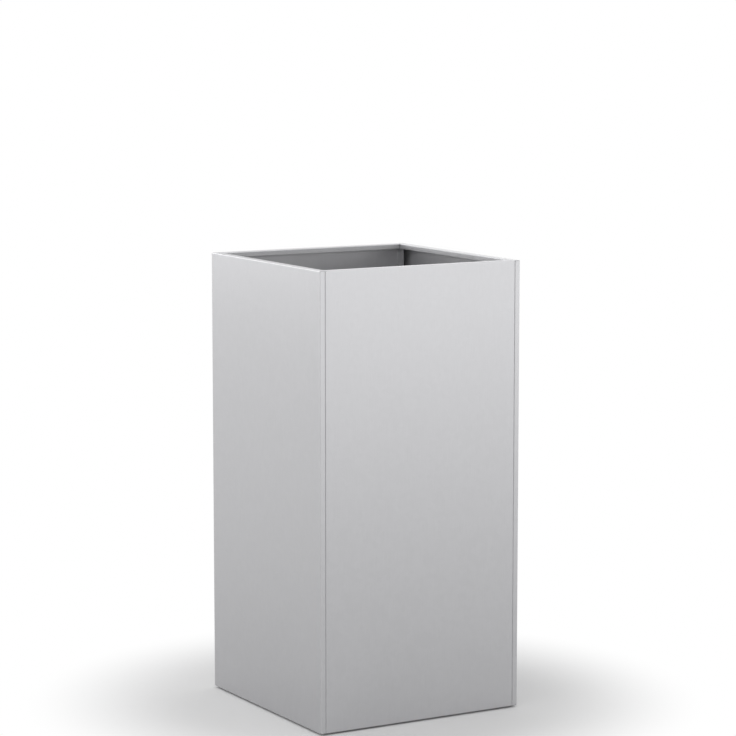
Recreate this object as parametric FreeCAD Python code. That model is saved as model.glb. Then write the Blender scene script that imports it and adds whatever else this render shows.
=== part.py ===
import FreeCAD, Part
import math
import os

# Tall square floor planter, folded from sheet steel and bolted together from flat panels.
# Millimetres. +Z is up, the front faces -Y and the left side faces -X. The origin is on the
# floor, under the middle of the planter.

Vector = FreeCAD.Vector
X_AXIS = Vector(1, 0, 0)
Y_AXIS = Vector(0, 1, 0)
Z_AXIS = Vector(0, 0, 1)
QUARTER_TURN = 90
HALF_TURN = 180
FULL_TURN = 360

# Overall size over the outside faces, standing on its feet.
WIDTH = 400.0
DEPTH = 400.0
HEIGHT = 800.0

# Sheet, its folds and the gaps that the folding leaves.
SHEET = 1.0
BEND_INSIDE_RADIUS = 0.5
FOLD_RELIEF = 1.0
FOLD_GAP = 0.3
MITRE_GAP = 0.5

# Walls: strip of a side panel that shows on the front and back, depth of the bolted flanges
# behind the front face, width of the rim's flat lip and depth of its turned-down edge.
CORNER_RETURN = 10.0
JOINT_FLANGE = 20.0
RIM_LIP = 15.0
RIM_EDGE = 9.0

# Lift-out base: clearance to the rim that it is lifted through, its height over the ledge,
# its drain holes and the channels that stiffen it.
BASE_CLEARANCE = 2.0
BASE_HEIGHT = 20.0
DRAIN_DIAMETER = 12.0
DRAIN_PITCH = 120.0
DRAIN_ROWS = 3
RIB_WIDTH = 25.0

# Corner bolts, their washers and the nuts that are pressed into the side panels' flanges.
BOLTS_PER_CORNER = 4
BOLT_END_INSET = 60.0
BOLT_DIAMETER = 5.0
BOLT_HEAD_DIAMETER = 9.5
BOLT_HEAD_HEIGHT = 2.75
BOLT_HEAD_RIM = 0.6
BOLT_HEAD_TOP_DIAMETER = 5.4
BOLT_DOME_RISE_SHARE = 0.14
BOLT_SOCKET_FLATS = 3.0
BOLT_SOCKET_DEPTH = 1.6
BOLT_TIP_CHAMFER = 0.5
BOLT_END_PROUD = 1.0
BOLT_HOLE_CLEARANCE = 0.25
THREAD_CLEARANCE = 0.05
WASHER_DIAMETER = 10.0
WASHER_THICKNESS = 1.0
WASHER_HOLE_CLEARANCE = 0.15
NUT_DIAMETER = 9.0
NUT_HEIGHT = 4.0
NUT_CHAMFER = 0.5
NUT_PILOT_DIAMETER = 6.3
NUT_PILOT_CLEARANCE = 0.05
NUT_PILOT_DEPTH_SHARE = 0.9

# Push-in rubber feet under the front and back ledges.
FOOT_DIAMETER = 14.0
FOOT_HEIGHT = 3.0
FOOT_CHAMFER = 0.8
FOOT_STEM_DIAMETER = 5.5
FOOT_STEM_CLEARANCE = 0.15
FOOT_BARB_DIAMETER = 8.0
FOOT_BARB_TIP_DIAMETER = 4.0
FOOT_BARB_HEIGHT = 3.5
FOOT_FROM_CORNER = 50.0
FOOT_TO_SKIRT = 2.0
LEDGE_MARGIN = 1.0

# How far a cutting shape runs past what it cuts.
OVERRUN = 2.0

# Worked-out sizes of the shell.
HALF_WIDTH = WIDTH / 2
HALF_DEPTH = DEPTH / 2
BEND_OUTSIDE_RADIUS = BEND_INSIDE_RADIUS + SHEET
MITRE_SETBACK = MITRE_GAP / math.sqrt(2)
WALL_BOTTOM = FOOT_HEIGHT
LEDGE_TOP = WALL_BOTTOM + SHEET
SEAM_X = HALF_WIDTH - CORNER_RETURN
BOLT_INSET = (BEND_OUTSIDE_RADIUS + JOINT_FLANGE) / 2
BOLT_LENGTH = WASHER_THICKNESS + SHEET + SHEET + NUT_HEIGHT + BOLT_END_PROUD
BOLT_FIRST_Z = WALL_BOTTOM + BOLT_END_INSET
BOLT_PITCH = (HEIGHT - BOLT_END_INSET - BOLT_FIRST_Z) / (BOLTS_PER_CORNER - 1)
BOLT_HEIGHTS = [BOLT_FIRST_Z + step * BOLT_PITCH for step in range(BOLTS_PER_CORNER)]
BOLT_HEAD_X = SEAM_X - SHEET - WASHER_THICKNESS - BOLT_HEAD_HEIGHT

# Worked-out sizes of the base, the ledge that carries it and the feet under the ledge.
BASE_HALF_WIDTH = min(HALF_WIDTH - RIM_LIP, BOLT_HEAD_X) - BASE_CLEARANCE
BASE_HALF_DEPTH = HALF_DEPTH - RIM_LIP - BASE_CLEARANCE
BASE_TOP = LEDGE_TOP + BASE_HEIGHT
FOOT_X = HALF_WIDTH - FOOT_FROM_CORNER
FOOT_Y = BASE_HALF_DEPTH - SHEET - FOOT_TO_SKIRT - FOOT_BARB_DIAMETER / 2
LEDGE_DEPTH = HALF_DEPTH - FOOT_Y + FOOT_DIAMETER / 2 + LEDGE_MARGIN


def folded_strip(corners, run):
    """Make a strip of folded sheet and draw it out along run.

    corners are the sharp corners of the strip's outside face. The sheet lies on the right of
    the line when run points at the reader, and every fold turns to the right.
    """
    axis = Vector(run).normalize()
    headings = [(end - start).normalize() for start, end in zip(corners, corners[1:])]
    across = [heading.cross(axis) for heading in headings]
    outside, inside = [], []
    outer_end = corners[0]
    inner_end = corners[0] + across[0] * SHEET
    for step, corner in enumerate(corners[1:-1]):
        turn = headings[step].getAngle(headings[step + 1])
        setback = BEND_OUTSIDE_RADIUS * math.tan(turn / 2)
        start = corner - headings[step] * setback
        end = corner + headings[step + 1] * setback
        centre = start + across[step] * BEND_OUTSIDE_RADIUS
        outward = (corner - centre).normalize()
        inner_start = start + across[step] * SHEET
        outside.append(Part.LineSegment(outer_end, start).toShape())
        outside.append(Part.Arc(start, centre + outward * BEND_OUTSIDE_RADIUS, end).toShape())
        inside.append(Part.LineSegment(inner_end, inner_start).toShape())
        outer_end = end
        inner_end = end + across[step + 1] * SHEET
        inside.append(Part.Arc(inner_start, centre + outward * BEND_INSIDE_RADIUS, inner_end).toShape())
    last_inner = corners[-1] + across[-1] * SHEET
    outside.append(Part.LineSegment(outer_end, corners[-1]).toShape())
    inside.append(Part.LineSegment(inner_end, last_inner).toShape())
    caps = [
        Part.LineSegment(corners[0], corners[0] + across[0] * SHEET).toShape(),
        Part.LineSegment(corners[-1], last_inner).toShape(),
    ]
    section = Part.Wire(Part.__sortEdges__(outside + caps + inside))
    return Part.Face(section).extrude(run)


def prism(points, run):
    """Draw a flat polygon out along run."""
    return Part.Face(Part.makePolygon(points + points[:1])).extrude(run)


def block(low, high):
    """Make a box from its lowest to its highest corner."""
    size = high - low
    return Part.makeBox(size.x, size.y, size.z, low)


def turned(outline):
    """Turn an outline of radius and height pairs, which starts and ends on Z, about Z."""
    points = [Vector(radius, 0, height) for radius, height in outline]
    face = Part.Face(Part.makePolygon(points + points[:1]))
    return face.revolve(Vector(), Z_AXIS, FULL_TURN)


def cylinder_through(middle, axis, diameter, thickness):
    """Make a cutting cylinder through a sheet of the given thickness about middle."""
    half = thickness / 2 + OVERRUN
    return Part.makeCylinder(diameter / 2, half + half, middle - axis * half, axis)


def mitred_outline(half_length, reach_out):
    """Make the tall block in which one panel's rim lip and ledge lie.

    Its ends are the mitres at 45 degrees, and its outer corners are rounded as the wall's
    own corners are.
    """
    depth = LEDGE_DEPTH + OVERRUN
    low = WALL_BOTTOM - OVERRUN
    rise = Z_AXIS * (HEIGHT + OVERRUN - low)
    outer = half_length - MITRE_SETBACK
    inner = outer - depth
    wedge = prism(
        [
            Vector(-outer, -reach_out, low),
            Vector(outer, -reach_out, low),
            Vector(inner, depth - reach_out, low),
            Vector(-inner, depth - reach_out, low),
        ],
        rise,
    )
    plan = block(Vector(-half_length, -reach_out, low), Vector(half_length, reach_out, low) + rise)
    upright_edges = [edge for edge in plan.Edges if edge.BoundBox.ZLength > SHEET]
    return wedge.common(plan.makeFillet(BEND_OUTSIDE_RADIUS, upright_edges))


def wall_panel(plan_corners, web_half, half_length, reach_out, holes):
    """Fold one wall panel, which faces -Y and runs along X.

    Args:
        plan_corners: outside corners of the web, its returns and its flanges, seen from above.
        web_half: half the length of the flat web, to its own end folds.
        half_length: half the length of the whole wall on this side.
        reach_out: distance from the middle of the planter to the outside face.
        holes: cutting shapes for the bolts and feet.
    """
    low = LEDGE_TOP + FOLD_GAP
    high = HEIGHT - SHEET - FOLD_GAP
    upright = folded_strip([corner + Z_AXIS * low for corner in plan_corners], Z_AXIS * (high - low))
    flat_half = web_half - BEND_OUTSIDE_RADIUS
    fold_half = flat_half - FOLD_RELIEF
    face = -reach_out
    behind_face = face + BEND_OUTSIDE_RADIUS
    before_face = face - OVERRUN

    rim_fold_z = HEIGHT - BEND_OUTSIDE_RADIUS
    ledge_fold_z = WALL_BOTTOM + BEND_OUTSIDE_RADIUS
    upright = upright.cut([
        block(Vector(-flat_half, before_face, rim_fold_z), Vector(flat_half, behind_face, HEIGHT)),
        block(Vector(-flat_half, before_face, WALL_BOTTOM), Vector(flat_half, behind_face, ledge_fold_z)),
    ])

    run = X_AXIS * (half_length + half_length)
    rim = folded_strip(
        [
            Vector(-half_length, face, rim_fold_z - BEND_OUTSIDE_RADIUS),
            Vector(-half_length, face, HEIGHT),
            Vector(-half_length, face + RIM_LIP, HEIGHT),
            Vector(-half_length, face + RIM_LIP, HEIGHT - RIM_EDGE),
        ],
        run,
    )
    ledge = folded_strip(
        [
            Vector(-half_length, face + LEDGE_DEPTH, WALL_BOTTOM),
            Vector(-half_length, face, WALL_BOTTOM),
            Vector(-half_length, face, ledge_fold_z + BEND_OUTSIDE_RADIUS),
        ],
        run,
    )
    outline = mitred_outline(half_length, reach_out)
    folds = [rim.common(outline), ledge.common(outline)]
    past_end = half_length + OVERRUN
    reliefs = []
    for start, end in ((-past_end, -fold_half), (fold_half, past_end)):
        reliefs.append(block(Vector(start, before_face, LEDGE_TOP), Vector(end, behind_face, HEIGHT - SHEET)))
    folds = [fold.cut(reliefs) for fold in folds]
    return upright.fuse(folds).cut(holes).removeSplitter()


def front_panel():
    """Fold the front panel, with its flanges turned in at the seams."""
    back_of_flange = JOINT_FLANGE - HALF_DEPTH
    corners = [
        Vector(SEAM_X, back_of_flange, 0),
        Vector(SEAM_X, -HALF_DEPTH, 0),
        Vector(-SEAM_X, -HALF_DEPTH, 0),
        Vector(-SEAM_X, back_of_flange, 0),
    ]
    bolt_hole = BOLT_DIAMETER + BOLT_HOLE_CLEARANCE + BOLT_HOLE_CLEARANCE
    foot_hole = FOOT_STEM_DIAMETER + FOOT_STEM_CLEARANCE + FOOT_STEM_CLEARANCE
    holes = []
    for side in (-1, 1):
        for height in BOLT_HEIGHTS:
            middle = Vector(side * (SEAM_X - SHEET / 2), BOLT_INSET - HALF_DEPTH, height)
            holes.append(cylinder_through(middle, X_AXIS, bolt_hole, SHEET))
        middle = Vector(side * FOOT_X, -FOOT_Y, WALL_BOTTOM + SHEET / 2)
        holes.append(cylinder_through(middle, Z_AXIS, foot_hole, SHEET))
    return wall_panel(corners, SEAM_X, HALF_WIDTH, HALF_DEPTH, holes)


def side_panel():
    """Fold a side panel, facing -Y, with the returns that wrap the planter's corners."""
    seam = CORNER_RETURN - HALF_WIDTH
    end_of_flange = HALF_DEPTH - JOINT_FLANGE
    corners = [
        Vector(end_of_flange, seam, 0),
        Vector(HALF_DEPTH, seam, 0),
        Vector(HALF_DEPTH, -HALF_WIDTH, 0),
        Vector(-HALF_DEPTH, -HALF_WIDTH, 0),
        Vector(-HALF_DEPTH, seam, 0),
        Vector(-end_of_flange, seam, 0),
    ]
    nut_hole = NUT_PILOT_DIAMETER + NUT_PILOT_CLEARANCE + NUT_PILOT_CLEARANCE
    holes = []
    for side in (-1, 1):
        for height in BOLT_HEIGHTS:
            middle = Vector(side * (HALF_DEPTH - BOLT_INSET), seam - SHEET / 2, height)
            holes.append(cylinder_through(middle, Y_AXIS, nut_hole, SHEET))
    return wall_panel(corners, HALF_DEPTH, HALF_DEPTH, HALF_WIDTH, holes)


def base_tray():
    """Fold the lift-out base: a flat floor with its skirts turned down onto the ledge."""
    across_half = BASE_HALF_WIDTH - BEND_OUTSIDE_RADIUS - FOLD_RELIEF
    along_half = BASE_HALF_DEPTH - BEND_OUTSIDE_RADIUS - FOLD_RELIEF
    side_skirts = folded_strip(
        [
            Vector(BASE_HALF_WIDTH, -along_half, LEDGE_TOP),
            Vector(BASE_HALF_WIDTH, -along_half, BASE_TOP),
            Vector(-BASE_HALF_WIDTH, -along_half, BASE_TOP),
            Vector(-BASE_HALF_WIDTH, -along_half, LEDGE_TOP),
        ],
        Y_AXIS * (along_half + along_half),
    )
    end_skirts = folded_strip(
        [
            Vector(-across_half, -BASE_HALF_DEPTH, LEDGE_TOP),
            Vector(-across_half, -BASE_HALF_DEPTH, BASE_TOP),
            Vector(-across_half, BASE_HALF_DEPTH, BASE_TOP),
            Vector(-across_half, BASE_HALF_DEPTH, LEDGE_TOP),
        ],
        X_AXIS * (across_half + across_half),
    )
    middle_row = (DRAIN_ROWS - 1) / 2
    steps = [(row - middle_row) * DRAIN_PITCH for row in range(DRAIN_ROWS)]
    drains = [
        cylinder_through(Vector(x, y, BASE_TOP - SHEET / 2), Z_AXIS, DRAIN_DIAMETER, SHEET)
        for x in steps
        for y in steps
    ]
    return side_skirts.fuse(end_skirts).cut(drains).removeSplitter()


def base_rib(middle_y):
    """Fold one channel under the base, between two rows of drain holes."""
    half_run = BASE_HALF_WIDTH - BEND_OUTSIDE_RADIUS - FOLD_GAP
    half_rib = RIB_WIDTH / 2
    top = BASE_TOP - SHEET
    return folded_strip(
        [
            Vector(-half_run, middle_y - half_rib, LEDGE_TOP),
            Vector(-half_run, middle_y - half_rib, top),
            Vector(-half_run, middle_y + half_rib, top),
            Vector(-half_run, middle_y + half_rib, LEDGE_TOP),
        ],
        X_AXIS * (half_run + half_run),
    )


def bolt():
    """Turn one button-head bolt along Z, with the flanges' meeting faces at zero."""
    radius = BOLT_DIAMETER / 2
    seat = SHEET + WASHER_THICKNESS
    tip = seat - BOLT_LENGTH
    rim = Vector(BOLT_HEAD_DIAMETER / 2, 0, seat + BOLT_HEAD_RIM)
    crown = Vector(BOLT_HEAD_TOP_DIAMETER / 2, 0, seat + BOLT_HEAD_HEIGHT)
    chord = crown - rim
    dome = (rim + crown) / 2 + chord.cross(Y_AXIS) * -BOLT_DOME_RISE_SHARE
    corners = [
        crown,
        Vector(0, 0, crown.z),
        Vector(0, 0, tip),
        Vector(radius - BOLT_TIP_CHAMFER, 0, tip),
        Vector(radius, 0, tip + BOLT_TIP_CHAMFER),
        Vector(radius, 0, seat),
        Vector(rim.x, 0, seat),
        rim,
    ]
    edges = [Part.LineSegment(start, end).toShape() for start, end in zip(corners, corners[1:])]
    edges.append(Part.Arc(rim, dome, crown).toShape())
    body = Part.Face(Part.Wire(edges)).revolve(Vector(), Z_AXIS, FULL_TURN)
    across_corners = BOLT_SOCKET_FLATS / math.cos(math.pi / 6)
    hexagon = []
    for step in range(6):
        angle = step * math.pi / 3
        spoke = Vector(math.cos(angle), math.sin(angle), 0) * (across_corners / 2)
        hexagon.append(spoke + Z_AXIS * (crown.z - BOLT_SOCKET_DEPTH))
    return body.cut(prism(hexagon, Z_AXIS * (BOLT_SOCKET_DEPTH + OVERRUN)))


def washer():
    """Turn the plain washer under one bolt head."""
    hole = BOLT_DIAMETER / 2 + WASHER_HOLE_CLEARANCE
    top = SHEET + WASHER_THICKNESS
    edge = WASHER_DIAMETER / 2
    return turned([(hole, SHEET), (edge, SHEET), (edge, top), (hole, top)])


def clinch_nut():
    """Turn one round nut whose pilot is pressed into the side panel's flange."""
    bore = BOLT_DIAMETER / 2 + THREAD_CLEARANCE
    pilot = NUT_PILOT_DIAMETER / 2
    edge = NUT_DIAMETER / 2
    back = -SHEET - NUT_HEIGHT
    pilot_end = NUT_PILOT_DEPTH_SHARE * SHEET - SHEET
    return turned([
        (bore, back),
        (edge - NUT_CHAMFER, back),
        (edge, back + NUT_CHAMFER),
        (edge, -SHEET),
        (pilot, -SHEET),
        (pilot, pilot_end),
        (bore, pilot_end),
    ])


def foot():
    """Turn one push-in foot, standing on the floor about Z."""
    pad = FOOT_DIAMETER / 2
    stem = FOOT_STEM_DIAMETER / 2
    return turned([
        (0, 0),
        (pad - FOOT_CHAMFER, 0),
        (pad, FOOT_CHAMFER),
        (pad, WALL_BOTTOM),
        (stem, WALL_BOTTOM),
        (stem, LEDGE_TOP),
        (FOOT_BARB_DIAMETER / 2, LEDGE_TOP),
        (FOOT_BARB_TIP_DIAMETER / 2, LEDGE_TOP + FOOT_BARB_HEIGHT),
        (0, LEDGE_TOP + FOOT_BARB_HEIGHT),
    ])


def moved(shape, turn, place):
    """Copy a shape, turn the copy about Z and move it to its place."""
    copy = shape.copy()
    copy.rotate(Vector(), Z_AXIS, turn)
    copy.translate(place)
    return copy


def corner_group(fastener, turn, seam_x, seam_y):
    """Copy one fastener to every bolt height of a corner."""
    return Part.makeCompound([moved(fastener, turn, Vector(seam_x, seam_y, height)) for height in BOLT_HEIGHTS])


def all_pieces():
    """Make every piece of the planter, by node name."""
    front = front_panel()
    side = side_panel()
    pieces = {
        "front_panel": front,
        "back_panel": moved(front, HALF_TURN, Vector()),
        "left_panel": moved(side, -QUARTER_TURN, Vector()),
        "right_panel": moved(side, QUARTER_TURN, Vector()),
        "base_tray": base_tray(),
        "base_rib_front": base_rib(-DRAIN_PITCH / 2),
        "base_rib_back": base_rib(DRAIN_PITCH / 2),
    }
    fasteners = {"bolts": bolt(), "washers": washer(), "clinch_nuts": clinch_nut()}
    for fastener in fasteners.values():
        fastener.rotate(Vector(), Y_AXIS, QUARTER_TURN)
    rubber_foot = foot()
    for y_name, y_side in (("front", -1), ("back", 1)):
        for x_name, x_side, turn in (("left", -1, 0), ("right", 1, HALF_TURN)):
            seam_y = y_side * (HALF_DEPTH - BOLT_INSET)
            for name, fastener in fasteners.items():
                group = corner_group(fastener, turn, x_side * SEAM_X, seam_y)
                pieces[f"{name}_{y_name}_{x_name}"] = group
            place = Vector(x_side * FOOT_X, y_side * FOOT_Y, 0)
            pieces[f"foot_{y_name}_{x_name}"] = moved(rubber_foot, 0, place)
    return pieces


os.makedirs("parts", exist_ok=True)
for node, solid in all_pieces().items():
    solid.exportStep(f"parts/{node}.step")
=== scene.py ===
"""Looks of a tall square planter of folded sheet steel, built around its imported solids.

Metres. +Z is up, the front faces -Y and the left side faces -X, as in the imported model.
"""

import logging
import math
from collections.abc import Callable, Sequence
from dataclasses import dataclass, replace
from enum import Enum

import bpy
from bpy.types import Material, Node, NodeSocket, NodeTree, Object, ShaderNodeTree
from mathutils import Matrix, Vector


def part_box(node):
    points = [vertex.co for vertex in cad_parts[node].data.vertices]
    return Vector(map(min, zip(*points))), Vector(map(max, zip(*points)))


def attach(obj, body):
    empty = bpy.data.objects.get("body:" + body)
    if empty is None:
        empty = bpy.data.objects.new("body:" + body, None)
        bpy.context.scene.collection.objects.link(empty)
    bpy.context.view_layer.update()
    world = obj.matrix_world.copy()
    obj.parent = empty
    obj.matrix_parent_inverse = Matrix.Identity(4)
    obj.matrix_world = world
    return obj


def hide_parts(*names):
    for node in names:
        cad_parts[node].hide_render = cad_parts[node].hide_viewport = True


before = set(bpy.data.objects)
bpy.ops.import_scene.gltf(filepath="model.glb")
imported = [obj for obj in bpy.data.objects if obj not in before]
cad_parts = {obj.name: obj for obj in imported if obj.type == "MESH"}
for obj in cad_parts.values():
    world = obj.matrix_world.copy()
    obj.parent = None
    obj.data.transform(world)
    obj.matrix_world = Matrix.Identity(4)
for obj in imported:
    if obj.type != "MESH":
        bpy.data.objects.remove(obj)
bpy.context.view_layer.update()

LOG = logging.getLogger("planter")

MM = 0.001
SHEET = 1.0 * MM
SAME_PLACE = 0.01 * MM
BUMP_HEIGHT = 0.2 * MM
SHARP_ANGLE = math.radians(34.0)
ROUNDING_STEPS = 2
WHITE = (1.0, 1.0, 1.0, 1.0)

Color = tuple[float, float, float]
Place = tuple[float, float]
Profile = list[Place]


class Slot(Enum):
    """Material slots of the record."""

    WALL = "wall_sheet"
    BASE = "base_sheet"
    BOLT = "bolt_zinc"
    WASHER = "washer_zinc"
    NUT = "nut_zinc"
    FOOT = "foot_rubber"


class Body(Enum):
    """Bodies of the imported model."""

    SHELL = "shell"
    BASE = "base"


class Corner(Enum):
    """Upright corners of the planter, by the signs of X and Y."""

    FRONT_LEFT = (-1, -1)
    FRONT_RIGHT = (1, -1)
    BACK_LEFT = (-1, 1)
    BACK_RIGHT = (1, 1)

    @property
    def label(self) -> str:
        """Name of the corner as the pieces use it."""
        return self.name.lower()


class Ends(Enum):
    """What is done with the first and last circle of a turned shape."""

    CAPPED = "capped"
    JOINED = "joined"
    OPEN = "open"


class Ray(Enum):
    """Kinds of rays that show the surroundings rather than light by them."""

    CAMERA = "Is Camera Ray"
    GLOSSY = "Is Glossy Ray"
    TRANSMISSION = "Is Transmission Ray"


class SocketKind(Enum):
    """Kinds of socket on a shader group."""

    NUMBER = "NodeSocketFloat"
    VECTOR = "NodeSocketVector"


Finishes = dict[Slot, Material]


def supply(tree: NodeTree, socket: NodeSocket, value: object) -> None:
    """Set an input from a plain value or from another node's output.

    Args:
        tree: node tree that holds the input.
        socket: the input.
        value: a plain value or an output socket.
    """
    if isinstance(value, NodeSocket):
        tree.links.new(value, socket)
    else:
        socket.default_value = value


def add_node(tree: NodeTree, kind: str, inputs: dict[int | str, object], **settings: object) -> Node:
    """Add a shader node.

    Args:
        tree: node tree that gets the node.
        kind: Blender's name of the node type.
        inputs: a plain value or an output socket for some inputs, by their number or name.
        settings: plain properties of the node by name.

    Returns:
        The new node.
    """
    node = tree.nodes.new(kind)
    for name, value in settings.items():
        setattr(node, name, value)
    for key, value in inputs.items():
        supply(tree, node.inputs[key], value)
    return node


def math_node(tree: NodeTree, operation: str, *values: object) -> NodeSocket:
    """Add a Math node with a value for each input, and return its output."""
    return add_node(tree, "ShaderNodeMath", dict(enumerate(values)), operation=operation).outputs[0]


def vector_node(tree: NodeTree, operation: str, *values: object) -> NodeSocket:
    """Add a Vector Math node with a value for each input, and return its output."""
    node = add_node(tree, "ShaderNodeVectorMath", dict(enumerate(values)), operation=operation)
    return node.outputs["Vector"]


def fade_node(tree: NodeTree, value: NodeSocket, start: object, end: object) -> NodeSocket:
    """Add a node that goes softly from 0 to 1 between two values.

    Args:
        tree: node tree that gets the node.
        value: output socket that is followed.
        start: value up to which the result is 0.
        end: value from which the result is 1.

    Returns:
        The node's output socket.
    """
    inputs = {"Value": value, "From Min": start, "From Max": end}
    fade = add_node(tree, "ShaderNodeMapRange", inputs, interpolation_type="SMOOTHSTEP")
    return fade.outputs["Result"]


@dataclass(frozen=True)
class SurfaceEffect:
    """A shader group that several finishes share."""

    group: ShaderNodeTree

    @classmethod
    def start(cls, name: str, inputs: dict[str, SocketKind], outputs: Sequence[str]) -> "SurfaceEffect":
        """Make an empty group with its sockets.

        Args:
            name: name of the group.
            inputs: kind of each input by name.
            outputs: names of the outputs, which are all numbers.

        Returns:
            The effect, ready for its nodes.
        """
        group = bpy.data.node_groups.new(name, "ShaderNodeTree")
        for socket, kind in inputs.items():
            group.interface.new_socket(socket, in_out="INPUT", socket_type=kind.value)
        for socket in outputs:
            group.interface.new_socket(socket, in_out="OUTPUT", socket_type=SocketKind.NUMBER.value)
        group.nodes.new("NodeGroupInput")
        group.nodes.new("NodeGroupOutput")
        return cls(group)

    def given(self, name: str) -> NodeSocket:
        """Return the socket that brings an input into the group."""
        return self.group.nodes["Group Input"].outputs[name]

    def give(self, name: str, value: NodeSocket) -> None:
        """Link a value to an output of the group."""
        self.group.links.new(value, self.group.nodes["Group Output"].inputs[name])

    def swing(self, value: NodeSocket) -> NodeSocket:
        """Turn a texture's value from 0 to 1 into one that swings about 0 by the group's contrast."""
        centred = math_node(self.group, "MULTIPLY_ADD", value, 2.0, -1.0)
        return math_node(self.group, "MULTIPLY", centred, self.given("Contrast"))

    def place(self, tree: NodeTree, vector: NodeSocket, **values: object) -> Node:
        """Put the group into a material.

        Args:
            tree: the material's nodes.
            vector: coordinates that the effect follows.
            values: value of each other input, by its name in small letters with underscores.

        Returns:
            The group's node in the material.
        """
        node = add_node(tree, "ShaderNodeGroup", {}, node_tree=self.group)
        tree.links.new(vector, node.inputs["Vector"])
        for name, value in values.items():
            node.inputs[name.replace("_", " ").capitalize()].default_value = value
        return node


@dataclass
class SurfaceEffects:
    """The effects that the finishes share, with the sizes of their patterns."""

    ripple_per_metre: float = 90.0
    ripple_reach: float = 6.0 * MM
    line_detail: float = 3.0
    line_roughness: float = 0.6
    haze_detail: float = 4.0
    # Size and detail of the patches that lighten the folds with rubbed wear and a painted highlight.
    rub_and_highlight_per_metre: float = 45.0
    rub_and_highlight_detail: float = 3.0

    def __post_init__(self) -> None:
        """Build each effect once."""
        number, vector = SocketKind.NUMBER, SocketKind.VECTOR
        pattern = {"Vector": vector, "Per metre": number, "Contrast": number}
        self.spangle = SurfaceEffect.start("Zinc spangle", pattern, ["Shade"])
        self.grain = SurfaceEffect.start("Rolled grain", {**pattern, "Stretch": vector}, ["Shade", "Height"])
        self.haze = SurfaceEffect.start("Coat haze", pattern, ["Shade", "Height"])
        # The fold mask lightens the folds: partly rubbed wear, partly a painted highlight on the bends.
        self.rub = SurfaceEffect.start(
            "Fold wear and painted highlight", {"Vector": vector, "Corner": vector, "Reach": number}, ["Mask"]
        )
        self.build_spangle()
        self.build_grain()
        self.build_haze()
        self.build_rub()

    def build_spangle(self) -> None:
        """Make the crystal cells of a zinc coat, each with its own shade."""
        group, vector = self.spangle.group, self.spangle.given("Vector")
        noise_inputs = {"Vector": vector, "Scale": self.ripple_per_metre}
        ripple = add_node(group, "ShaderNodeTexNoise", noise_inputs).outputs["Color"]
        reach = (self.ripple_reach, self.ripple_reach, self.ripple_reach)
        warped = vector_node(group, "MULTIPLY_ADD", ripple, reach, vector)
        cell_inputs = {"Vector": warped, "Scale": self.spangle.given("Per metre")}
        cells = add_node(group, "ShaderNodeTexVoronoi", cell_inputs, feature="F1")
        split = add_node(group, "ShaderNodeSeparateColor", {"Color": cells.outputs["Color"]})
        self.spangle.give("Shade", self.spangle.swing(split.outputs["Red"]))

    def build_grain(self) -> None:
        """Make the fine lines that rolling leaves in a sheet."""
        group = self.grain.group
        stretched = vector_node(group, "MULTIPLY", self.grain.given("Vector"), self.grain.given("Stretch"))
        inputs = {
            "Vector": stretched,
            "Scale": self.grain.given("Per metre"),
            "Detail": self.line_detail,
            "Roughness": self.line_roughness,
        }
        lines = add_node(group, "ShaderNodeTexNoise", inputs).outputs["Fac"]
        self.grain.give("Shade", self.grain.swing(lines))
        self.grain.give("Height", lines)

    def build_haze(self) -> None:
        """Make the broad, soft unevenness of a coat or of moulded rubber."""
        inputs = {
            "Vector": self.haze.given("Vector"),
            "Scale": self.haze.given("Per metre"),
            "Detail": self.haze_detail,
        }
        clouds = add_node(self.haze.group, "ShaderNodeTexNoise", inputs).outputs["Fac"]
        self.haze.give("Shade", self.haze.swing(clouds))
        self.haze.give("Height", clouds)

    def build_rub(self) -> None:
        """Make the bright, patchy mask along the upright and upper folds of a box, from its far corner; it
        stands for rubbed wear and also paints a highlight where the bends catch the light.
        """
        group, vector = self.rub.group, self.rub.given("Vector")
        beside = vector_node(group, "ABSOLUTE", vector)
        inset = vector_node(group, "SUBTRACT", self.rub.given("Corner"), beside)
        parts = add_node(group, "ShaderNodeSeparateXYZ", {0: vector_node(group, "ABSOLUTE", inset)}).outputs
        # The middle one of a point's three insets is its distance from the nearest fold.
        smaller = math_node(group, "MINIMUM", parts["X"], parts["Y"])
        larger = math_node(group, "MAXIMUM", parts["X"], parts["Y"])
        second = math_node(group, "MINIMUM", larger, parts["Z"])
        from_fold = math_node(group, "MAXIMUM", smaller, second)
        beyond = fade_node(group, from_fold, 0.0, self.rub.given("Reach"))
        near = math_node(group, "SUBTRACT", 1.0, beyond)
        noise_inputs = {"Vector": vector, "Scale": self.rub_and_highlight_per_metre, "Detail": self.rub_and_highlight_detail}
        patches = add_node(group, "ShaderNodeTexNoise", noise_inputs).outputs["Fac"]
        self.rub.give("Mask", math_node(group, "MULTIPLY", near, patches))


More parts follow.
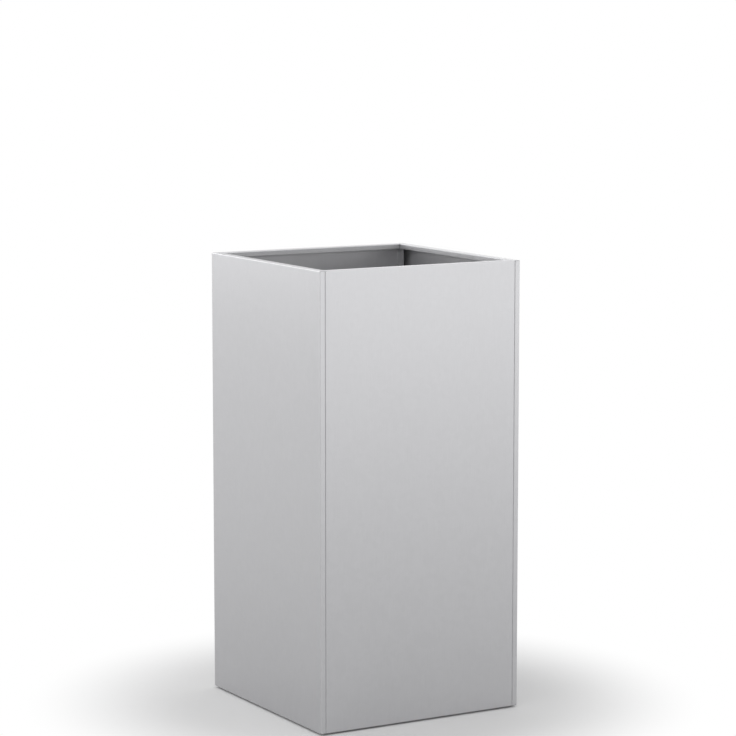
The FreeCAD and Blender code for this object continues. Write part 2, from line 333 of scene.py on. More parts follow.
@dataclass(frozen=True)
class SurfaceMaterial:
    """A material whose colour, gloss and bumps change over the surface."""

    material: Material

    @classmethod
    def start(cls, name: str) -> "SurfaceMaterial":
        """Make a plain material.

        Args:
            name: name of the material.

        Returns:
            The surface, ready for its effects.
        """
        material = bpy.data.materials.new(name)
        material.use_nodes = True
        return cls(material)

    @property
    def tree(self) -> NodeTree:
        """Nodes of the material."""
        return self.material.node_tree

    @property
    def shader(self) -> Node:
        """Shader of the material."""
        return self.tree.nodes["Principled BSDF"]

    def coordinates(self) -> NodeSocket:
        """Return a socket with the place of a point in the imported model."""
        return add_node(self.tree, "ShaderNodeTexCoord", {}).outputs["Object"]

    def tint(self, color: Color, shade: NodeSocket) -> None:
        """Set the colour.

        Args:
            color: mean colour.
            shade: how much lighter the colour is at a place, as a share.
        """
        inputs = {0: color, "Scale": math_node(self.tree, "ADD", shade, 1.0)}
        tinted = add_node(self.tree, "ShaderNodeVectorMath", inputs, operation="SCALE")
        supply(self.tree, self.shader.inputs["Base Color"], tinted.outputs["Vector"])

    def roughen(self, roughness: float, change: NodeSocket) -> None:
        """Set the mean roughness, and how much rougher the surface is at a place."""
        varied = math_node(self.tree, "ADD", change, roughness)
        supply(self.tree, self.shader.inputs["Roughness"], varied)

    def emboss(self, height: NodeSocket, strength: float) -> None:
        """Set the fine bumps.

        Args:
            height: height of the surface at a place.
            strength: how strong the bumps are.
        """
        inputs = {"Strength": strength, "Distance": BUMP_HEIGHT, "Height": height}
        bump = add_node(self.tree, "ShaderNodeBump", inputs)
        supply(self.tree, self.shader.inputs["Normal"], bump.outputs["Normal"])


@dataclass(frozen=True)
class SteelFinish:
    """Zinc-coated steel: its colour, its gloss and how strong and large its surface marks are."""

    name: str
    color: Color
    metal: float
    roughness: float
    cells_per_metre: float
    cell_contrast: float
    lines_per_metre: float
    line_contrast: float
    line_stretch: tuple[float, float, float]
    line_depth: float
    patches_per_metre: float
    patch_contrast: float
    fold_node: str = ""
    fold_reach: float = 4.0 * MM
    # How much the folds are lightened, partly as rubbed wear and partly as a painted highlight on the bends;
    # they also get smoother.
    fold_rub_and_highlight: float = 0.0

    def material(self, effects: SurfaceEffects) -> Material:
        """Build the finish.

        Args:
            effects: the shared effects.

        Returns:
            The new material.
        """
        surface = SurfaceMaterial.start(self.name)
        surface.shader.inputs["Metallic"].default_value = self.metal
        tree, place = surface.tree, surface.coordinates()
        cells = effects.spangle.place(
            tree, place, per_metre=self.cells_per_metre, contrast=self.cell_contrast
        )
        lines = effects.grain.place(
            tree,
            place,
            per_metre=self.lines_per_metre,
            contrast=self.line_contrast,
            stretch=self.line_stretch,
        )
        patches = effects.haze.place(
            tree, place, per_metre=self.patches_per_metre, contrast=self.patch_contrast
        )
        shade = math_node(tree, "ADD", cells.outputs["Shade"], lines.outputs["Shade"])
        change = math_node(tree, "ADD", cells.outputs["Shade"], patches.outputs["Shade"])
        # Lighter, smoother folds: partly rubbed wear, partly a painted highlight standing in for the light
        # that the bends catch.
        if self.fold_node:
            far_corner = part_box(self.fold_node)[1]
            rub = effects.rub.place(tree, place, corner=far_corner, reach=self.fold_reach)
            rub_and_highlight_shade = math_node(tree, "MULTIPLY", rub.outputs["Mask"], self.fold_rub_and_highlight)
            shade = math_node(tree, "ADD", shade, rub_and_highlight_shade)
            change = math_node(tree, "SUBTRACT", change, rub_and_highlight_shade)
        surface.tint(self.color, shade)
        surface.roughen(self.roughness, change)
        surface.emboss(lines.outputs["Height"], self.line_depth)
        return surface.material


@dataclass(frozen=True)
class RubberFinish:
    """Black moulded rubber with a fine, dull grain."""

    name: str
    color: Color
    roughness: float
    grains_per_metre: float
    grain_contrast: float
    grain_depth: float

    def material(self, effects: SurfaceEffects) -> Material:
        """Build the finish.

        Args:
            effects: the shared effects.

        Returns:
            The new material.
        """
        surface = SurfaceMaterial.start(self.name)
        place = surface.coordinates()
        grain = effects.haze.place(
            surface.tree, place, per_metre=self.grains_per_metre, contrast=self.grain_contrast
        )
        surface.tint(self.color, grain.outputs["Shade"])
        surface.roughen(self.roughness, grain.outputs["Shade"])
        surface.emboss(grain.outputs["Height"], self.grain_depth)
        return surface.material


WALL_FINISH = SteelFinish(
    name="silver_wall_sheet",
    color=(0.505, 0.505, 0.517),
    metal=0.8,
    roughness=0.40,
    cells_per_metre=110.0,
    cell_contrast=0.012,
    lines_per_metre=1100.0,
    line_contrast=0.05,
    line_stretch=(1.0, 1.0, 0.02),
    line_depth=0.15,
    patches_per_metre=4.0,
    patch_contrast=0.03,
    # Faint lightening of the folds: rubbed wear and a painted highlight.
    fold_node="right_panel",
    fold_rub_and_highlight=0.05,
)
BASE_FINISH = SteelFinish(
    name="zinc_base_sheet",
    color=(0.55, 0.555, 0.565),
    metal=0.8,
    roughness=0.42,
    cells_per_metre=70.0,
    cell_contrast=0.05,
    lines_per_metre=1200.0,
    line_contrast=0.03,
    line_stretch=(0.02, 1.0, 1.0),
    line_depth=0.08,
    patches_per_metre=6.0,
    patch_contrast=0.05,
    # Lightening of the folds: rubbed wear and a painted highlight.
    fold_node="base_tray",
    fold_rub_and_highlight=0.2,
)
BOLT_FINISH = SteelFinish(
    name="zinc_bolt",
    color=(0.66, 0.66, 0.67),
    metal=1.0,
    roughness=0.26,
    cells_per_metre=900.0,
    cell_contrast=0.03,
    lines_per_metre=3000.0,
    line_contrast=0.02,
    line_stretch=(1.0, 1.0, 1.0),
    line_depth=0.05,
    patches_per_metre=120.0,
    patch_contrast=0.06,
)
FOOT_FINISH = RubberFinish(
    name="foot_black_rubber",
    color=(0.022, 0.022, 0.023),
    roughness=0.62,
    grains_per_metre=900.0,
    grain_contrast=0.15,
    grain_depth=0.3,
)
FINISHES = {
    Slot.WALL: WALL_FINISH,
    Slot.BASE: BASE_FINISH,
    Slot.BOLT: BOLT_FINISH,
    Slot.WASHER: replace(BOLT_FINISH, name="zinc_washer", color=(0.60, 0.61, 0.62), roughness=0.33),
    Slot.NUT: replace(BOLT_FINISH, name="zinc_nut", color=(0.58, 0.59, 0.60), roughness=0.36),
    Slot.FOOT: FOOT_FINISH,
}


def pick_objects(*pieces: Object) -> None:
    """Select only these objects, with the first one active.

    Args:
        pieces: objects to select.
    """
    bpy.ops.object.select_all(action="DESELECT")
    for piece in pieces:
        piece.select_set(True)
    bpy.context.view_layer.objects.active = pieces[0]


def pick_points(piece: Object, test: Callable[[Vector], bool]) -> None:
    """Go to edit mode with only the points of a mesh selected that pass a test.

    Args:
        piece: object whose mesh is edited, in object mode.
        test: takes a point's place.
    """
    pick_objects(piece)
    mesh = piece.data
    for group in (mesh.vertices, mesh.edges, mesh.polygons):
        group.foreach_set("select", [False] * len(group))
    for point in mesh.vertices:
        point.select = test(point.co)
    bpy.context.tool_settings.mesh_select_mode = (True, False, False)
    bpy.ops.object.mode_set(mode="EDIT")


def pick_edges(piece: Object, test: Callable[[Vector], bool]) -> None:
    """Go to edit mode with only the edges selected whose two ends pass a test."""
    pick_points(piece, test)
    bpy.ops.mesh.select_mode(type="EDGE")


def edit_all(piece: Object) -> None:
    """Go to edit mode with a whole mesh selected.

    Args:
        piece: object whose mesh is edited, in object mode.
    """
    pick_objects(piece)
    bpy.ops.object.mode_set(mode="EDIT")
    bpy.ops.mesh.select_all(action="SELECT")


def end_edit() -> None:
    """Go back to object mode."""
    bpy.ops.object.mode_set(mode="OBJECT")


def end_edit_outwards() -> None:
    """Turn every face of the mesh outwards, and go back to object mode."""
    bpy.ops.mesh.select_all(action="SELECT")
    bpy.ops.mesh.normals_make_consistent(inside=False)
    end_edit()


def apply_place(piece: Object) -> None:
    """Move a piece's place into its mesh, so that its origin is the frame's."""
    pick_objects(piece)
    bpy.ops.object.transform_apply(location=True, rotation=True, scale=True)


def apply_modifier(piece: Object, kind: str, **settings: object) -> None:
    """Add a modifier to a piece and apply it.

    Args:
        piece: object that gets the modifier.
        kind: Blender's name of the modifier type.
        settings: properties of the modifier by name.
    """
    pick_objects(piece)
    modifier = piece.modifiers.new(kind.lower(), kind)
    for name, value in settings.items():
        setattr(modifier, name, value)
    bpy.ops.object.modifier_apply(modifier=modifier.name)


def smooth_faces(piece: Object) -> None:
    """Shade a piece smooth, apart from its sharp edges."""
    pick_objects(piece)
    bpy.ops.object.shade_smooth_by_angle(angle=SHARP_ANGLE)


def round_edges(piece: Object, width: float) -> None:
    """Round a piece's sharp edges to a width, and shade the rest smooth."""
    apply_modifier(
        piece, "BEVEL", width=width, segments=ROUNDING_STEPS, limit_method="ANGLE", angle_limit=SHARP_ANGLE
    )
    smooth_faces(piece)


def turned(profile: Profile, points: int, ends: Ends) -> Object:
    """Turn a shape about Z by pulling one circle along a profile.

    Args:
        profile: radius and height of each circle.
        points: points of each circle.
        ends: whether the outer circles are capped, joined or left open.

    Returns:
        The new object, at the origin.
    """
    bpy.ops.object.select_all(action="DESELECT")
    radius, height = profile[0]
    bpy.ops.mesh.primitive_circle_add(vertices=points, radius=radius, location=(0.0, 0.0, height))
    piece = bpy.context.object
    apply_place(piece)
    edit_all(piece)
    for next_radius, next_height in profile[1:]:
        rise = {"value": (0.0, 0.0, next_height - height)}
        bpy.ops.mesh.extrude_region_move(TRANSFORM_OT_translate=rise)
        share = next_radius / radius
        bpy.ops.transform.resize(value=(share, share, 1.0), center_override=(0.0, 0.0, next_height))
        radius, height = next_radius, next_height
    bpy.ops.mesh.select_all(action="SELECT")
    if ends is Ends.CAPPED:
        bpy.ops.mesh.fill_holes(sides=0)
    if ends is Ends.JOINED:
        bpy.ops.mesh.remove_doubles(threshold=SAME_PLACE)
    end_edit_outwards()
    return piece


def placed_copy(pattern: Object, place: Vector, turn: float = 0.0) -> Object:
    """Copy a pattern piece, with a mesh of its own, to its place.

    Args:
        pattern: piece that is copied.
        place: where the pattern's origin goes.
        turn: angle about Y, in radians.

    Returns:
        The copy, with its place in its mesh.
    """
    copy = pattern.copy()
    copy.data = pattern.data.copy()
    bpy.context.scene.collection.objects.link(copy)
    copy.matrix_world = Matrix.Translation(place) @ Matrix.Rotation(turn, 4, "Y")
    apply_place(copy)
    return copy


def joined(*pieces: Object) -> Object:
    """Join pieces into the first of them.

    Args:
        pieces: objects to join.

    Returns:
        The joined object.
    """
    pick_objects(*pieces)
    bpy.ops.object.join()
    return pieces[0]


def scrap(piece: Object) -> None:
    """Remove a pattern or cutting piece and its mesh."""
    bpy.data.meshes.remove(piece.data)


def keep_packed(node: str, slot: Slot, finishes: Finishes) -> str:
    """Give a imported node, whose shape stays, its finish, and return a line on it for the report."""
    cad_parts[node].material_slots[0].material = finishes[slot]
    return f"{node} keeps its packed shape"


def hand_over(piece: Object, name: str, slot: Slot, body: Body, node: str, finishes: Finishes) -> str:
    """Give a finished piece its name, its material, its body and the node that it stands for.

    Args:
        piece: the finished piece.
        name: name of the piece.
        slot: material slot of the piece.
        body: body that the piece rides on.
        node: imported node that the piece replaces.
        finishes: material of each slot.

    Returns:
        A line on the piece for the report.
    """
    piece.name = name
    piece.data.name = name
    piece.data.materials.clear()
    piece.data.materials.append(finishes[slot])
    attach(piece, body.value)
    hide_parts(node)
    return f"{name} rides on {body.value} in place of {node}"


@dataclass
class WallPanels:
    """Four folded wall panels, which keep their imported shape."""

    nodes: tuple[str, ...] = ("front_panel", "back_panel", "left_panel", "right_panel")

    def dress(self, finishes: Finishes) -> list[str]:
        """Give the panels their sheet finish, and return a line on each for the report."""
        return [keep_packed(node, Slot.WALL, finishes) for node in self.nodes]


@dataclass(frozen=True)
class PressedMark:
    """A round dent pressed into a sheet, open in the middle or closed."""

    flat_radius: float
    rim_radius: float
    inner_radius: float
    depth: float
    closed: bool
    rings: int = 8
    points: int = 40

    def build(self) -> Object:
        """Press the dent, with a flat ring round it and its sheet at zero.

        Returns:
            The pattern dent, an open sheet.
        """
        profile = [(self.flat_radius, 0.0)]
        for ring in range(self.rings + 1):
            share = ring / self.rings
            radius = self.rim_radius + (self.inner_radius - self.rim_radius) * share
            # A smooth step, level at the rim and again at the inner edge.
            drop = share * share * (3.0 - 2.0 * share)
            profile.append((radius, -self.depth * drop))
        mark = turned(profile, self.points, Ends.OPEN)
        if self.closed:
            pick_edges(mark, lambda point: point.xy.length < self.inner_radius + SAME_PLACE)
            bpy.ops.mesh.edge_face_add()
            end_edit()
        return mark


@dataclass
class LiftOutBase:
    """Folded tray with dished drains, and the two channels that are spot-welded under it."""

    node: str = "base_tray"
    ribs: tuple[str, ...] = ("base_rib_front", "base_rib_back")
    bend_radius: float = 1.5 * MM
    bend_steps: int = 6
    corner_relief: float = 2.5 * MM
    drain_pitch: float = 120.0 * MM
    drain_rows: int = 3
    weld_pitch: float = 66.0 * MM
    welds_per_rib: int = 6
    drain: PressedMark = PressedMark(
        flat_radius=14.2 * MM, rim_radius=13.2 * MM, inner_radius=6.0 * MM, depth=2.0 * MM, closed=False
    )
    weld: PressedMark = PressedMark(
        flat_radius=4.2 * MM, rim_radius=3.5 * MM, inner_radius=0.6 * MM, depth=0.36 * MM, closed=True
    )

    def __post_init__(self) -> None:
        """Take the tray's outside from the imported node."""
        self.low, self.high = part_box(self.node)

    @staticmethod
    def row(count: int, pitch: float) -> list[float]:
        """Space a number of places evenly about zero, one pitch apart."""
        return [(step - (count - 1) / 2) * pitch for step in range(count)]

    def marks(self) -> list[tuple[PressedMark, list[Place]]]:
        """Lay out the drains and the weld marks.

        Returns:
            The middles of each kind of mark.
        """
        steps = self.row(self.drain_rows, self.drain_pitch)
        drains = [(x, y) for x in steps for y in steps]
        rib_lines = [sum(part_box(rib), Vector()).y / 2 for rib in self.ribs]
        welds = [(x, y) for x in self.row(self.welds_per_rib, self.weld_pitch) for y in rib_lines]
        return [(self.drain, drains), (self.weld, welds)]

    def build(self) -> Object:
        """Fold the tray from one sheet and give it its thickness.

        Returns:
            The tray as one piece.
        """
        tray = self.pierced_floor()
        self.fold_skirts(tray)
        self.press_marks(tray)
        apply_modifier(tray, "SOLIDIFY", thickness=SHEET, offset=-1.0, use_even_offset=True)
        smooth_faces(tray)
        return tray

    def pierced_floor(self) -> Object:
        """Lay the flat floor with a round opening for each mark.

        Returns:
            The floor as an open sheet.
        """
        bpy.ops.object.select_all(action="DESELECT")
        bpy.ops.mesh.primitive_plane_add(size=2.0, location=(0.0, 0.0, self.high.z))
        tray = bpy.context.object
        # The plane reaches from -1 to 1, so its scale is its half size.
        tray.scale = (self.high.x - self.corner_relief, self.high.y - self.corner_relief, 1.0)
        apply_place(tray)
        edit_all(tray)
        bpy.ops.mesh.delete(type="ONLY_FACE")
        for mark, places in self.marks():
            for x, y in places:
                bpy.ops.mesh.primitive_circle_add(
                    vertices=mark.points, radius=mark.flat_radius, location=(x, y, self.high.z)
                )
        bpy.ops.mesh.select_all(action="SELECT")
        bpy.ops.mesh.fill(use_beauty=True)
        end_edit()
        return tray

    def fold_skirts(self, tray: Object) -> None:
        """Pull the four sides out and down, and round the folds.

        Args:
            tray: the flat floor.
        """
        drop = {"value": (0.0, 0.0, self.low.z - self.high.z)}
        for axis in (0, 1):
            for sign in (-1.0, 1.0):
                pick_edges(tray, lambda point: self.on_side(point, axis, sign))
                out = Vector()
                out[axis] = sign * self.corner_relief
                bpy.ops.mesh.extrude_region_move(TRANSFORM_OT_translate={"value": out})
                bpy.ops.mesh.extrude_region_move(TRANSFORM_OT_translate=drop)
                end_edit()
        pick_edges(tray, self.on_fold)
        bpy.ops.mesh.bevel(offset=self.bend_radius, segments=self.bend_steps, affect="EDGES")
        end_edit_outwards()

    def on_side(self, point: Vector, axis: int, sign: float) -> bool:
        """Tell whether a point is on one side of the flat floor.

        Args:
            point: place of the point.
            axis: axis that crosses the side.
            sign: which of the two sides.

        Returns:
            True on the side, its two ends included.
        """
        across = point[axis] * sign - (self.high[axis] - self.corner_relief)
        along = abs(point[1 - axis]) - (self.high[1 - axis] - self.corner_relief)
        level = point.z - self.high.z
        return abs(across) < SAME_PLACE and along < SAME_PLACE and abs(level) < SAME_PLACE

    def on_fold(self, point: Vector) -> bool:
        """Tell whether a point is on the upper edge of a skirt."""
        inset = min(self.high.x - abs(point.x), self.high.y - abs(point.y))
        return inset < SAME_PLACE and abs(point.z - self.high.z) < SAME_PLACE

    def press_marks(self, tray: Object) -> None:
        """Set a dished drain or a weld mark into each opening.

        Args:
            tray: the folded sheet with its openings.
        """
        pieces = [tray]
        for mark, places in self.marks():
            pattern = mark.build()
            pieces += [placed_copy(pattern, Vector((x, y, self.high.z))) for x, y in places]
            scrap(pattern)
        edit_all(joined(*pieces))
        bpy.ops.mesh.remove_doubles(threshold=SAME_PLACE)
        end_edit_outwards()

    def dress(self, finishes: Finishes) -> list[str]:
        """Build the tray and give it and its channels their finish.

        Args:
            finishes: material of each slot.

        Returns:
            A line on each piece for the report.
        """
        tray = self.build()
        report = [hand_over(tray, "dished_base_tray", Slot.BASE, Body.BASE, self.node, finishes)]
        return report + [keep_packed(rib, Slot.BASE, finishes) for rib in self.ribs]


@dataclass(frozen=True)
class SocketBolt:
    """Button-head bolt with a hexagonal socket and a wound thread."""

    seat: float
    length: float = 8.0 * MM
    head_radius: float = 4.75 * MM
    head_rim: float = 0.6 * MM
    head_height: float = 2.75 * MM
    crown_radius: float = 2.7 * MM
    dome_rise: float = 0.42 * MM
    dome_steps: int = 6
    socket_sides: int = 6
    socket_flats: float = 3.0 * MM
    socket_depth: float = 1.6 * MM
    thread_radius: float = 2.5 * MM
    thread_depth: float = 0.45 * MM
    thread_sink: float = 0.05 * MM
    thread_pitch: float = 0.8 * MM
    thread_turns: int = 8
    tip_chamfer: float = 0.5 * MM
    edge: float = 0.09 * MM
    points: int = 48

    def build(self) -> Object:
        """Turn the bolt along Z, with the joined flanges' meeting faces at zero.

        Returns:
            The pattern bolt.
        """
        tip = self.seat - self.length
        core = self.thread_radius - self.thread_depth
        shank = [
            (self.head_radius, self.seat),
            (core, self.seat),
            (core, tip + self.tip_chamfer),
            (core - self.tip_chamfer, tip),
        ]
        bolt = turned(self.dome() + shank, self.points, Ends.CAPPED)
        self.sink_socket(bolt)
        round_edges(bolt, self.edge)
        return joined(bolt, self.thread(tip + self.tip_chamfer))

    def dome(self) -> Profile:
        """Arch the head from its flat crown to its rim.

        Returns:
            Radius and height of each circle of the head.
        """
        crown = Vector((self.crown_radius, self.seat + self.head_height))
        rim = Vector((self.head_radius, self.seat + self.head_rim))
        chord = rim - crown
        outward = Vector((-chord.y, chord.x)).normalized()
        profile = []
        for step in range(self.dome_steps + 1):
            share = step / self.dome_steps
            # A parabola that is highest over the middle of the chord.
            rise = 4 * self.dome_rise * share * (1 - share)
            profile.append(tuple(crown + chord * share + outward * rise))
        return profile

    def sink_socket(self, bolt: Object) -> None:
        """Cut the hexagonal socket into the head.

        Args:
            bolt: bolt that is cut.
        """
        bpy.ops.object.select_all(action="DESELECT")
        bpy.ops.mesh.primitive_cylinder_add(
            vertices=self.socket_sides,
            radius=self.socket_flats / 2 / math.cos(math.pi / self.socket_sides),
            depth=2 * self.socket_depth,
            location=(0.0, 0.0, self.seat + self.head_height),
        )
        cutter = bpy.context.object
        apply_place(cutter)
        apply_modifier(bolt, "BOOLEAN", operation="DIFFERENCE", solver="EXACT", object=cutter)
        scrap(cutter)

    def thread(self, start: float) -> Object:
        """Wind one three-sided ridge round the bolt's core.

        Args:
            start: height of the ridge's lower end.

        Returns:
            The ridge.
        """
        height = self.thread_depth + self.thread_sink
        # A triangle is three halves of its circle's radius high.
        reach = height / 1.5
        bpy.ops.object.select_all(action="DESELECT")
        bpy.ops.mesh.primitive_circle_add(
            vertices=3,
            radius=reach,
            location=(self.thread_radius - reach, 0.0, start),
            rotation=(math.pi / 2, math.pi / 2, 0.0),
        )
        ridge = bpy.context.object
        apply_place(ridge)
        apply_modifier(
            ridge,
            "SCREW",
            axis="Z",
            angle=math.tau,
            screw_offset=self.thread_pitch,
            iterations=self.thread_turns,
            steps=self.points // 2,
            render_steps=self.points // 2,
        )
        edit_all(ridge)
        bpy.ops.mesh.fill_holes(sides=0)
        end_edit_outwards()
        smooth_faces(ridge)
        return ridge


@dataclass(frozen=True)
class PlainWasher:
    """Stamped washer with rounded edges."""

    seat: float
    thickness: float = 1.0 * MM
    radius: float = 5.0 * MM
    hole_radius: float = 2.65 * MM
    edge: float = 0.16 * MM
    points: int = 48

    def build(self) -> Object:
        """Turn the washer on its seat.

        Returns:
            The pattern washer.
        """
        top = self.seat + self.thickness
        profile = [
            (self.hole_radius, self.seat),
            (self.radius, self.seat),
            (self.radius, top),
            (self.hole_radius, top),
            (self.hole_radius, self.seat),
        ]
        washer = turned(profile, self.points, Ends.JOINED)
        round_edges(washer, self.edge)
        return washer


@dataclass(frozen=True)
class ToothedNut:
    """Round nut, pressed into a flange by its pilot and held by a ring of teeth."""

    face: float
    height: float = 4.0 * MM
    radius: float = 4.5 * MM
    bore_radius: float = 2.55 * MM
    bore_chamfer: float = 0.3 * MM
    back_chamfer: float = 0.5 * MM
    pilot_radius: float = 3.15 * MM
    pilot_height: float = 0.9 * MM
    tooth_height: float = 0.8 * MM
    tooth_share: float = 0.945
    groove_depth: float = 0.3 * MM
    groove_width: float = 0.5 * MM
    teeth: int = 24
    edge: float = 0.06 * MM

    def build(self) -> Object:
        """Turn the nut with its face against the flange, then press its teeth in.

        Returns:
            The pattern nut.
        """
        back = self.face - self.height
        ring = self.face - self.tooth_height
        groove = ring - self.groove_width
        pilot = self.face + self.pilot_height
        profile = [
            (self.bore_radius, back + self.bore_chamfer),
            (self.bore_radius + self.bore_chamfer, back),
            (self.radius - self.back_chamfer, back),
            (self.radius, back + self.back_chamfer),
            (self.radius, groove),
            (self.radius - self.groove_depth, groove + self.groove_depth / 2),
            (self.radius - self.groove_depth, ring - self.groove_depth / 2),
            (self.radius, ring),
            (self.radius, self.face),
            (self.pilot_radius, self.face),
            (self.pilot_radius, pilot),
            (self.bore_radius + self.bore_chamfer, pilot),
            (self.bore_radius, pilot - self.bore_chamfer),
            (self.bore_radius, back + self.bore_chamfer),
        ]
        nut = turned(profile, 2 * self.teeth, Ends.JOINED)
        pick_points(nut, self.between_teeth)
        share = (self.tooth_share, self.tooth_share, 1.0)
        bpy.ops.transform.resize(value=share, center_override=(0.0, 0.0, self.face))
        end_edit()
        round_edges(nut, self.edge)
        return nut

    def between_teeth(self, point: Vector) -> bool:
        """Tell whether a point lies in a gap of the toothed ring.

        Args:
            point: place of the point.

        Returns:
            True in a gap.
        """
        step = round(math.atan2(point.y, point.x) / math.pi * self.teeth)
        outside = point.xy.length > self.radius - SAME_PLACE
        return outside and step % 2 == 1 and point.z > self.face - self.tooth_height - SAME_PLACE


@dataclass
class CornerFasteners:
    """Bolts, washers and pressed-in nuts of the four upright seams, on flanges that meet at zero."""

    per_corner: int = 4
    washer: PlainWasher = PlainWasher(seat=SHEET)
    bolt: SocketBolt = SocketBolt(seat=SHEET + PlainWasher.thickness)
    nut: ToothedNut = ToothedNut(face=-SHEET)

    def places(self, corner: Corner) -> list[Vector]:
        """Find the meeting faces under each bolt of a corner, from its packed bolts.

        Args:
            corner: corner whose bolts are placed.

        Returns:
            Place of each bolt, from the floor up.
        """
        low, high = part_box(f"bolts_{corner.label}")
        side, _ = corner.value
        crown = min(abs(low.x), abs(high.x))
        seam = side * (crown + self.bolt.head_height + self.bolt.seat)
        first = low.z + self.bolt.head_radius
        pitch = (high.z - self.bolt.head_radius - first) / (self.per_corner - 1)
        return [Vector((seam, (low.y + high.y) / 2, first + step * pitch)) for step in range(self.per_corner)]

    def dress(self, finishes: Finishes) -> list[str]:
        """Build one group of each kind at every corner.

        Args:
            finishes: material of each slot.

        Returns:
            A line on each piece for the report.
        """
        kinds = (
            (self.bolt.build(), "socket_bolts", "bolts", Slot.BOLT),
            (self.washer.build(), "plain_washers", "washers", Slot.WASHER),
            (self.nut.build(), "toothed_nuts", "clinch_nuts", Slot.NUT),
        )
        report = []
        for pattern, name, node, slot in kinds:
            for corner in Corner:
                turn = -corner.value[0] * math.pi / 2
                group = joined(*[placed_copy(pattern, place, turn) for place in self.places(corner)])
                label = corner.label
                line = hand_over(group, f"{name}_{label}", slot, Body.SHELL, f"{node}_{label}", finishes)
                report.append(line)
            scrap(pattern)
        return report


@dataclass(frozen=True)
class RubberFoot:
    """Push-in foot with a hollowed sole, a grooved rim and a double barb."""

    pad_radius: float = 7.0 * MM
    pad_height: float = 3.0 * MM
    sole_chamfer: float = 0.8 * MM
    hollow_radius: float = 3.0 * MM
    hollow_depth: float = 0.9 * MM
    groove_height: float = 1.6 * MM
    groove_depth: float = 0.4 * MM
    stem_radius: float = 2.75 * MM
    barb_radius: float = 4.0 * MM
    barb_height: float = 3.5 * MM
    barb_lip: float = 0.35 * MM
    tip_radius: float = 2.0 * MM
    edge: float = 0.12 * MM
    points: int = 48

    def build(self) -> Object:
        """Turn the foot on the floor about Z.

        Returns:
            The pattern foot.
        """
        ledge = self.pad_height + SHEET
        half = self.barb_height / 2
        groove = self.pad_radius - self.groove_depth
        second_barb = (self.barb_radius + self.tip_radius) / 2
        profile = [
            (self.hollow_radius, self.hollow_depth),
            (self.hollow_radius + self.hollow_depth, 0.0),
            (self.pad_radius - self.sole_chamfer, 0.0),
            (self.pad_radius, self.sole_chamfer),
            (self.pad_radius, self.groove_height - self.groove_depth),
            (groove, self.groove_height),
            (self.pad_radius, self.groove_height + self.groove_depth),
            (self.pad_radius, self.pad_height),
            (self.stem_radius, self.pad_height),
            (self.stem_radius, ledge),
            (self.barb_radius, ledge),
            (self.barb_radius, ledge + self.barb_lip),
            (self.stem_radius, ledge + half),
            (second_barb, ledge + half),
            (second_barb, ledge + half + self.barb_lip),
            (self.tip_radius, ledge + self.barb_height),
        ]
        foot = turned(profile, self.points, Ends.CAPPED)
        round_edges(foot, self.edge)
        return foot


@dataclass
class RubberFeet:
    """The four feet under the front and back ledges."""

    foot: RubberFoot = RubberFoot()

    def dress(self, finishes: Finishes) -> list[str]:
        """Mould one foot and set a copy under each corner.

        Args:
            finishes: material of each slot.

        Returns:
            A line on each piece for the report.
        """
        report = []
        pattern = self.foot.build()
        for corner in Corner:
            node = f"foot_{corner.label}"
            low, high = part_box(node)
            place = Vector(((low.x + high.x) / 2, (low.y + high.y) / 2, low.z))
            foot = placed_copy(pattern, place)
            report.append(hand_over(foot, f"grooved_{node}", Slot.FOOT, Body.SHELL, node, finishes))
        scrap(pattern)
        return report


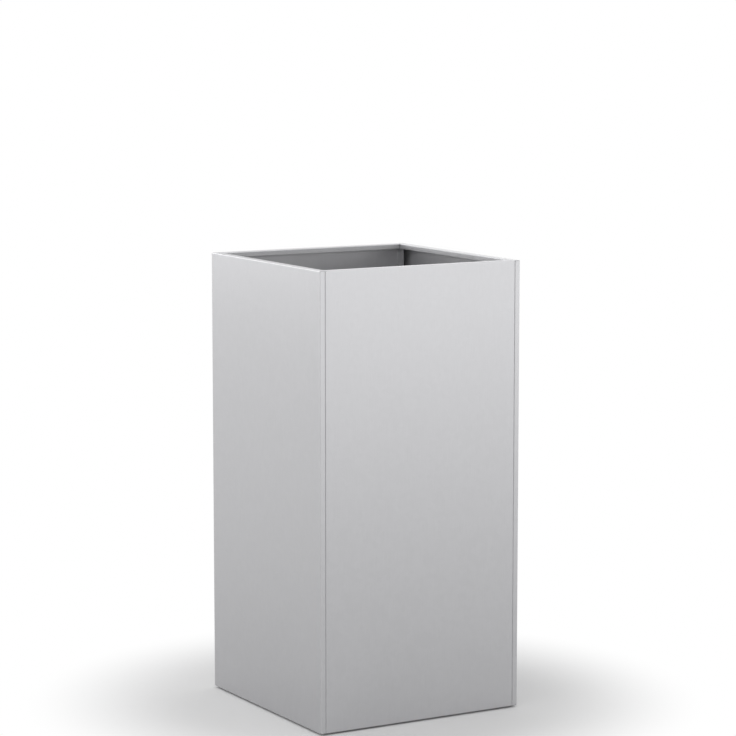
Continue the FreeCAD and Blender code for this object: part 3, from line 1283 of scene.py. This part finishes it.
@dataclass
class Studio:
    """Pale floor, white surroundings, soft lamps and the camera."""

    floor_size: float = 60.0
    floor_color: Color = (0.82, 0.82, 0.82)
    floor_roughness: float = 0.9
    shadow_radius: float = 0.30
    white_radius: float = 0.62
    mirror_radius: float = 3.4
    fill_strength: float = 0.46
    top_height: float = 2.8
    top_size: float = 4.0
    top_power: float = 28.0
    lamp_turn: float = math.radians(-60.0)
    lamp_distance: float = 3.0
    lamp_width: float = 3.6
    lamp_rise: float = 1.4
    lamp_powers: tuple[float, ...] = (15.5, 12.0, 34.0, 13.0)
    lamp_heights: tuple[float, ...] = (1.0, 1.2, 1.5, 1.25)
    camera_place: tuple[float, float, float] = (-2.4706, -4.2646, 1.2557)
    camera_yaw: float = math.radians(30.177)
    camera_pitch: float = math.radians(7.576)
    camera_lens: float = 136.53

    def build(self) -> None:
        """Set up everything that is not the planter."""
        self.build_floor()
        self.build_world()
        self.build_top_lamp()
        turn = self.lamp_turn
        for power, height in zip(self.lamp_powers, self.lamp_heights):
            self.build_side_lamp(turn, power, height)
            turn += math.tau / len(self.lamp_powers)
        self.build_camera()
        bpy.context.scene.view_settings.view_transform = "Standard"

    @staticmethod
    def rays(tree: NodeTree, *kinds: Ray) -> NodeSocket:
        """Tell some kinds of rays from all others.

        Args:
            tree: nodes of the floor or of the world.
            kinds: kinds of rays that are picked.

        Returns:
            A socket that is 1 for those rays and 0 for others.
        """
        path = add_node(tree, "ShaderNodeLightPath", {})
        picked = path.outputs[kinds[0].value]
        for kind in kinds[1:]:
            picked = math_node(tree, "MAXIMUM", picked, path.outputs[kind.value])
        return picked

    def white_share(self, tree: NodeTree, reach: NodeSocket, radius: float, *kinds: Ray) -> NodeSocket:
        """Fade the floor to white from the shadow's edge out to a radius, for some kinds of rays."""
        share = fade_node(tree, reach, self.shadow_radius, radius)
        return math_node(tree, "MULTIPLY", share, self.rays(tree, *kinds))

    def build_floor(self) -> None:
        """Lay the floor, which keeps the shadow by the planter and is white farther out."""
        bpy.ops.object.select_all(action="DESELECT")
        bpy.ops.mesh.primitive_plane_add(size=self.floor_size)
        floor = bpy.context.object
        floor.name = "floor"
        surface = SurfaceMaterial.start("pale_floor")
        tree, shader = surface.tree, surface.shader
        shader.inputs["Base Color"].default_value = (*self.floor_color, 1.0)
        shader.inputs["Roughness"].default_value = self.floor_roughness
        shader.inputs["Specular IOR Level"].default_value = 0.0
        measure = add_node(tree, "ShaderNodeVectorMath", {0: surface.coordinates()}, operation="LENGTH")
        reach = measure.outputs["Value"]
        in_picture = self.white_share(tree, reach, self.white_radius, Ray.CAMERA)
        in_metal = self.white_share(tree, reach, self.mirror_radius, Ray.GLOSSY, Ray.TRANSMISSION)
        share = math_node(tree, "MAXIMUM", in_picture, in_metal)
        white = add_node(tree, "ShaderNodeEmission", {"Color": WHITE, "Strength": 1.0})
        mix_inputs = {0: share, 1: shader.outputs["BSDF"], 2: white.outputs["Emission"]}
        mix = add_node(tree, "ShaderNodeMixShader", mix_inputs)
        supply(tree, tree.nodes["Material Output"].inputs["Surface"], mix.outputs["Shader"])
        floor.data.materials.append(surface.material)

    def build_world(self) -> None:
        """Surround the scene with white, which lights rough surfaces only gently."""
        world = bpy.data.worlds.new("white_surroundings")
        bpy.context.scene.world = world
        world.use_nodes = True
        tree = world.node_tree
        background = tree.nodes["Background"]
        background.inputs["Color"].default_value = WHITE
        inputs = {"Value": self.rays(tree, *Ray), "To Min": self.fill_strength, "To Max": 1.0}
        strength = add_node(tree, "ShaderNodeMapRange", inputs)
        supply(tree, background.inputs["Strength"], strength.outputs["Result"])

    def add_lamp(self, name: str, power: float, width: float, rise: float) -> Object:
        """Make a soft lamp that the camera doesn't see.

        Args:
            name: name of the lamp.
            power: power, in watts.
            width: width of its face.
            rise: height of its face.

        Returns:
            The lamp, facing down at the origin.
        """
        data = bpy.data.lights.new(name, "AREA")
        data.shape = "RECTANGLE"
        data.size = width
        data.size_y = rise
        data.energy = power
        lamp = bpy.data.objects.new(name, data)
        lamp.visible_camera = False
        bpy.context.scene.collection.objects.link(lamp)
        return lamp

    def build_top_lamp(self) -> None:
        """Hang a wide soft lamp over the planter's mouth."""
        lamp = self.add_lamp("top_lamp", self.top_power, self.top_size, self.top_size)
        lamp.location = (0.0, 0.0, self.top_height)

    def build_side_lamp(self, turn: float, power: float, height: float) -> None:
        """Stand one upright soft lamp beside the planter, facing it.

        Args:
            turn: angle of the lamp about the planter, from +X.
            power: power of the lamp, in watts.
            height: height of its middle over the floor.
        """
        lamp = self.add_lamp("side_lamp", power, self.lamp_width, self.lamp_rise)
        away = Vector((math.cos(turn), math.sin(turn), 0.0)) * self.lamp_distance
        lamp.location = away + Vector((0.0, 0.0, height))
        lamp.rotation_euler = (math.pi / 2, 0.0, turn + math.pi / 2)

    def build_camera(self) -> None:
        """Stand the camera where the photograph was taken."""
        data = bpy.data.cameras.new("camera")
        data.lens = self.camera_lens
        camera = bpy.data.objects.new("camera", data)
        camera.location = self.camera_place
        camera.rotation_euler = (math.pi / 2 - self.camera_pitch, 0.0, -self.camera_yaw)
        bpy.context.scene.collection.objects.link(camera)
        bpy.context.scene.camera = camera


def main() -> None:
    """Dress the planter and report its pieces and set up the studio."""
    effects = SurfaceEffects()
    finishes = {slot: finish.material(effects) for slot, finish in FINISHES.items()}
    for assembly in (WallPanels(), LiftOutBase(), CornerFasteners(), RubberFeet()):
        for line in assembly.dress(finishes):
            LOG.info("%s", line)
    Studio().build()


if __name__ == "__main__":
    logging.basicConfig(level=logging.INFO)
    main()
